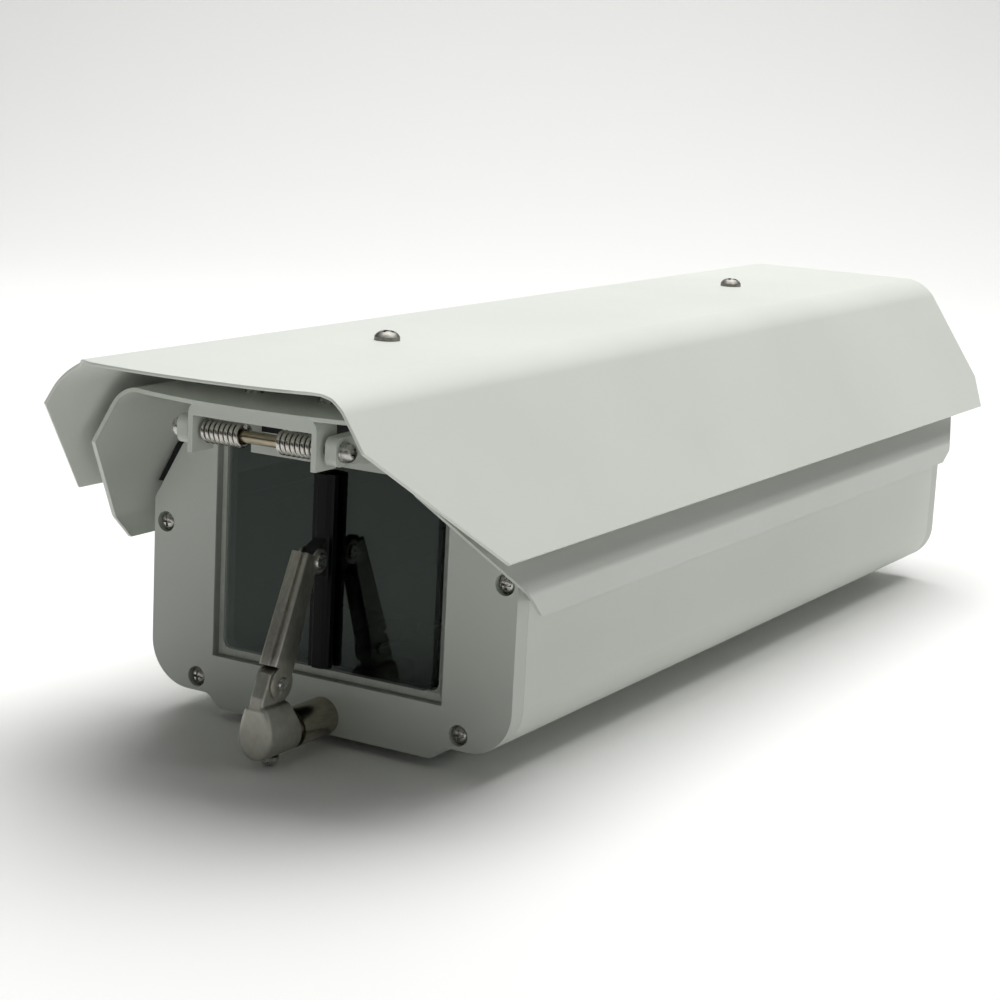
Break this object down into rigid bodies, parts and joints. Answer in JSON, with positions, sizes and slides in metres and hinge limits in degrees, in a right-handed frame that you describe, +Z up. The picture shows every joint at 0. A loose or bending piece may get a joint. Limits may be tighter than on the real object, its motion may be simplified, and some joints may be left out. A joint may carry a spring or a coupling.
{
  "type": "security camera housing",
  "caption": "Outdoor camera housing: extruded case with a glass window and wiper, hinged cover and overhanging sun shield.",
  "frame": {"origin": "centre of the four mounting holes, on the underside of the base rail", "axes": "+X to the right seen from the window, +Y from the window to the rear, +Z up"},
  "size_m": [0.1862, 0.547, 0.1504],
  "materials": {
    "paint": "satin warm grey-white powder coat on aluminium",
    "plate_paint": "satin powder coat on cast aluminium",
    "nickel_sheet": "nickel plated pressed steel",
    "black_blade": "black extrusion",
    "silicone": "pale silicone bed",
    "stainless_steel": "plain stainless",
    "spring_steel": "drawn spring wire",
    "satin_nickel": "satin nickel plate",
    "zinc_steel": "zinc plated",
    "bare_aluminium": "mill finish",
    "window_glass": "clear float glass",
    "rubber": "black rubber",
    "seal_rubber": "black foam rubber",
    "black_plastic": "moulded nylon",
    "gland_plastic": "light grey nylon",
    "board_laminate": "green lacquered glass-fibre board",
    "terminal_plastic": "green terminal plastic"
  },
  "bodies": {
    "case": {"case_body": "paint", "front_plate": "plate_paint", "rear_plate": "plate_paint", "front_plate_screws": "stainless_steel", "rear_plate_screws": "stainless_steel", "window_gasket": "silicone", "window_glass": "window_glass", "rim_seal_left": "seal_rubber", "rim_seal_right": "seal_rubber", "front_plate_seal": "seal_rubber", "rear_plate_seal": "seal_rubber", "base_plate": "zinc_steel", "hinge_yoke": "plate_paint", "hinge_yoke_screws": "stainless_steel", "hinge_pin": "stainless_steel", "hinge_pin_washers": "stainless_steel", "hinge_pin_screws": "stainless_steel", "hinge_spring_left": "spring_steel", "hinge_spring_right": "spring_steel", "wiper_bushing": "satin_nickel", "drive_bracket": "zinc_steel", "drive_screws": "stainless_steel", "wiper_gearbox": "black_plastic", "wiper_motor": "zinc_steel", "camera_tray": "bare_aluminium", "tray_pillars": "bare_aluminium", "tray_screws": "stainless_steel", "camera_screw": "stainless_steel", "heater_block": "bare_aluminium", "fan_frame": "black_plastic", "terminal_board": "board_laminate", "board_pillars": "bare_aluminium", "board_screws": "stainless_steel", "terminal_block": "terminal_plastic", "gland_body_left": "gland_plastic", "gland_nut_left": "gland_plastic", "gland_cap_left": "gland_plastic", "gland_body_right": "gland_plastic", "gland_nut_right": "gland_plastic", "gland_cap_right": "gland_plastic"},
    "cover": {"cover_shell": "paint", "sun_shield": "paint", "shield_spacers": "stainless_steel", "shield_screws": "stainless_steel", "shield_nuts": "stainless_steel", "hinge_bracket": "paint", "hinge_bracket_screws": "stainless_steel", "lock_tab": "paint", "lock_tab_screws": "stainless_steel"},
    "knob": {"lock_knob": "black_plastic"},
    "wiper": {"wiper_shaft": "stainless_steel", "wiper_head": "satin_nickel", "wiper_head_screw": "stainless_steel", "arm_rivet": "stainless_steel"},
    "arm": {"wiper_arm": "nickel_sheet", "blade_rivet": "stainless_steel"},
    "blade": {"blade_clip": "black_plastic", "blade_holder": "black_blade", "blade_rubber": "rubber"},
    "fan": {"fan_rotor": "black_plastic"}
  },
  "joints": [
    {"name": "cover_hinge", "type": "hinge", "parent": "case", "child": "cover", "pos_m": [0, -0.25265, 0.1153], "axis": [1, 0, 0], "range_deg": [0, 60]},
    {"name": "lock_knob_turn", "type": "hinge", "parent": "case", "child": "knob", "pos_m": [0, 0.21075, 0.104], "axis": [0, 1, 0], "range_deg": [0, 360]},
    {"name": "wiper_sweep", "type": "hinge", "parent": "case", "child": "wiper", "pos_m": [0, -0.21075, 0.0067], "axis": [0, 1, 0], "range_deg": [-30, 30]},
    {"name": "arm_lift", "type": "hinge", "parent": "wiper", "child": "arm", "pos_m": [0, -0.24175, 0.0264], "axis": [1, 0, 0], "range_deg": [0, 45]},
    {"name": "blade_tilt", "type": "hinge", "parent": "arm", "child": "blade", "pos_m": [0, -0.22085, 0.0674], "axis": [1, 0, 0], "range_deg": [-13.5, 0]},
    {"name": "fan_spin", "type": "hinge", "parent": "case", "child": "fan", "pos_m": [0, 0.14125, 0.058], "axis": [0, 1, 0], "continuous": true}
  ],
  "couplings": [
    {"joint": "blade_tilt", "follows": "arm_lift", "ratio": -0.3}
  ]
}
